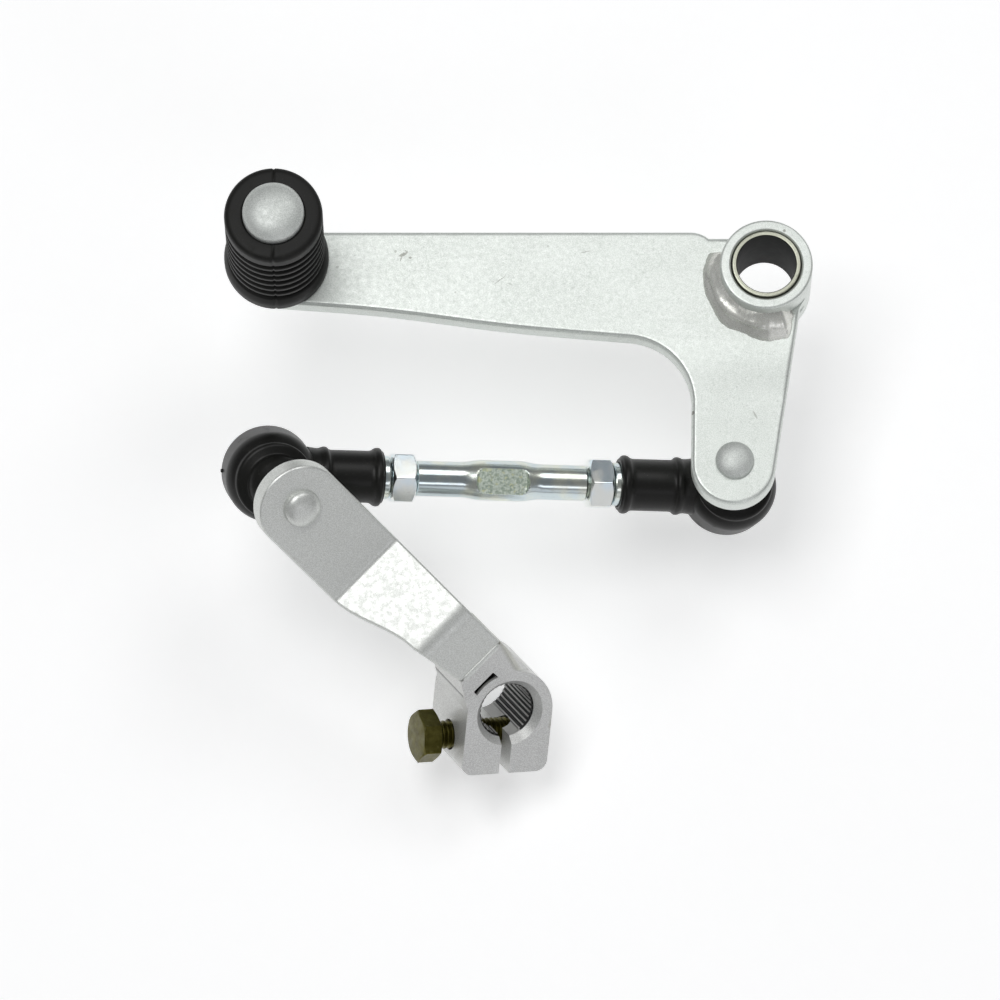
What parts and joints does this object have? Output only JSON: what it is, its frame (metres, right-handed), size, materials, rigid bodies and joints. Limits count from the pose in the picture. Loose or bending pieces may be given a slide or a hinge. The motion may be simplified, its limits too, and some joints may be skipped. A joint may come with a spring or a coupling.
{
  "type": "motorcycle gear shift lever",
  "caption": "Toe-operated gear shift pedal with a ribbed rubber peg, linked by a rod with rubber-booted ball joints to a cranked arm with a splined clamp hub.",
  "frame": {"origin": "on the pedal's pivot axis, in the inner end face of the pivot bush", "axes": "+Z along the pivot axis, outward to the side that the toe peg stands on; +X from the toe peg to the pivot; +Y up, away from the tie rod"},
  "size_m": [0.1245, 0.1167, 0.0801],
  "materials": {
    "black_rubber": "matt moulded rubber",
    "bolt_steel": "olive passivated zinc plate",
    "bush_steel": "turned steel with a yellowish passivation",
    "seat_plastic": "plain off-white bearing plastic",
    "silver_paint": "satin silver paint with fine metal flake",
    "zinc_plate": "bright zinc plate with a faint blue and yellow tint"
  },
  "bodies": {
    "bush": {"pivot_bush": "bush_steel"},
    "pedal": {"pedal_plate": "silver_paint", "pivot_boss": "silver_paint", "pivot_weld_front": "silver_paint", "pivot_weld_back": "silver_paint", "toe_pin": "silver_paint", "toe_rubber": "black_rubber", "pedal_ball_stud": "silver_paint"},
    "pedal_ring": {"pedal_boot_ring": "zinc_plate"},
    "pedal_seat": {"pedal_ball_seat": "seat_plastic"},
    "rod": {"pedal_end_housing": "zinc_plate", "pedal_end_cap": "zinc_plate", "pedal_end_boot": "black_rubber", "pedal_end_nut": "zinc_plate", "tie_rod": "zinc_plate", "arm_end_nut": "zinc_plate", "arm_end_housing": "zinc_plate", "arm_end_cap": "zinc_plate", "arm_end_boot": "black_rubber"},
    "arm_seat": {"arm_ball_seat": "seat_plastic"},
    "arm_ring": {"arm_boot_ring": "zinc_plate"},
    "arm": {"arm_ball_stud": "silver_paint", "shift_arm": "silver_paint", "arm_weld": "silver_paint", "clamp_hub": "silver_paint", "clamp_bolt": "bolt_steel"}
  },
  "joints": [
    {"name": "pedal_swing", "type": "hinge", "parent": "bush", "child": "pedal", "pos_m": [0, 0, 0], "axis": [0, 0, 1], "continuous": true},
    {"name": "rod_swing", "type": "hinge", "parent": "pedal", "child": "pedal_ring", "pos_m": [-0.0076, -0.0409, -0.00879], "axis": [0.0401, 0, 0.9992], "range_deg": [-12, 100]},
    {"name": "rod_pitch", "type": "hinge", "parent": "pedal_ring", "child": "pedal_seat", "pos_m": [-0.0076, -0.0409, -0.00879], "axis": [0.0244, -0.9997, -0.001], "range_deg": [-6.4, 23.6]},
    {"name": "rod_roll", "type": "hinge", "parent": "pedal_seat", "child": "rod", "pos_m": [-0.0076, -0.0409, -0.00879], "axis": [-0.9817, -0.0242, 0.1891], "range_deg": [-8.2, 21.8], "deforming": ["pedal_end_boot"]},
    {"name": "arm_roll", "type": "hinge", "parent": "rod", "child": "arm_seat", "pos_m": [-0.10459, -0.04329, 0.00989], "axis": [-0.9817, -0.0242, 0.1891], "range_deg": [-6.2, 23.8], "deforming": ["arm_end_boot"]},
    {"name": "arm_pitch", "type": "hinge", "parent": "arm_seat", "child": "arm_ring", "pos_m": [-0.10459, -0.04329, 0.00989], "axis": [-0.096, -0.7943, -0.5999], "range_deg": [-2.7, 27.3]},
    {"name": "arm_swing", "type": "hinge", "parent": "arm_ring", "child": "arm", "pos_m": [-0.10459, -0.04329, 0.00989], "axis": [0.37, -0.588, 0.7193], "range_deg": [-90, 28]}
  ]
}
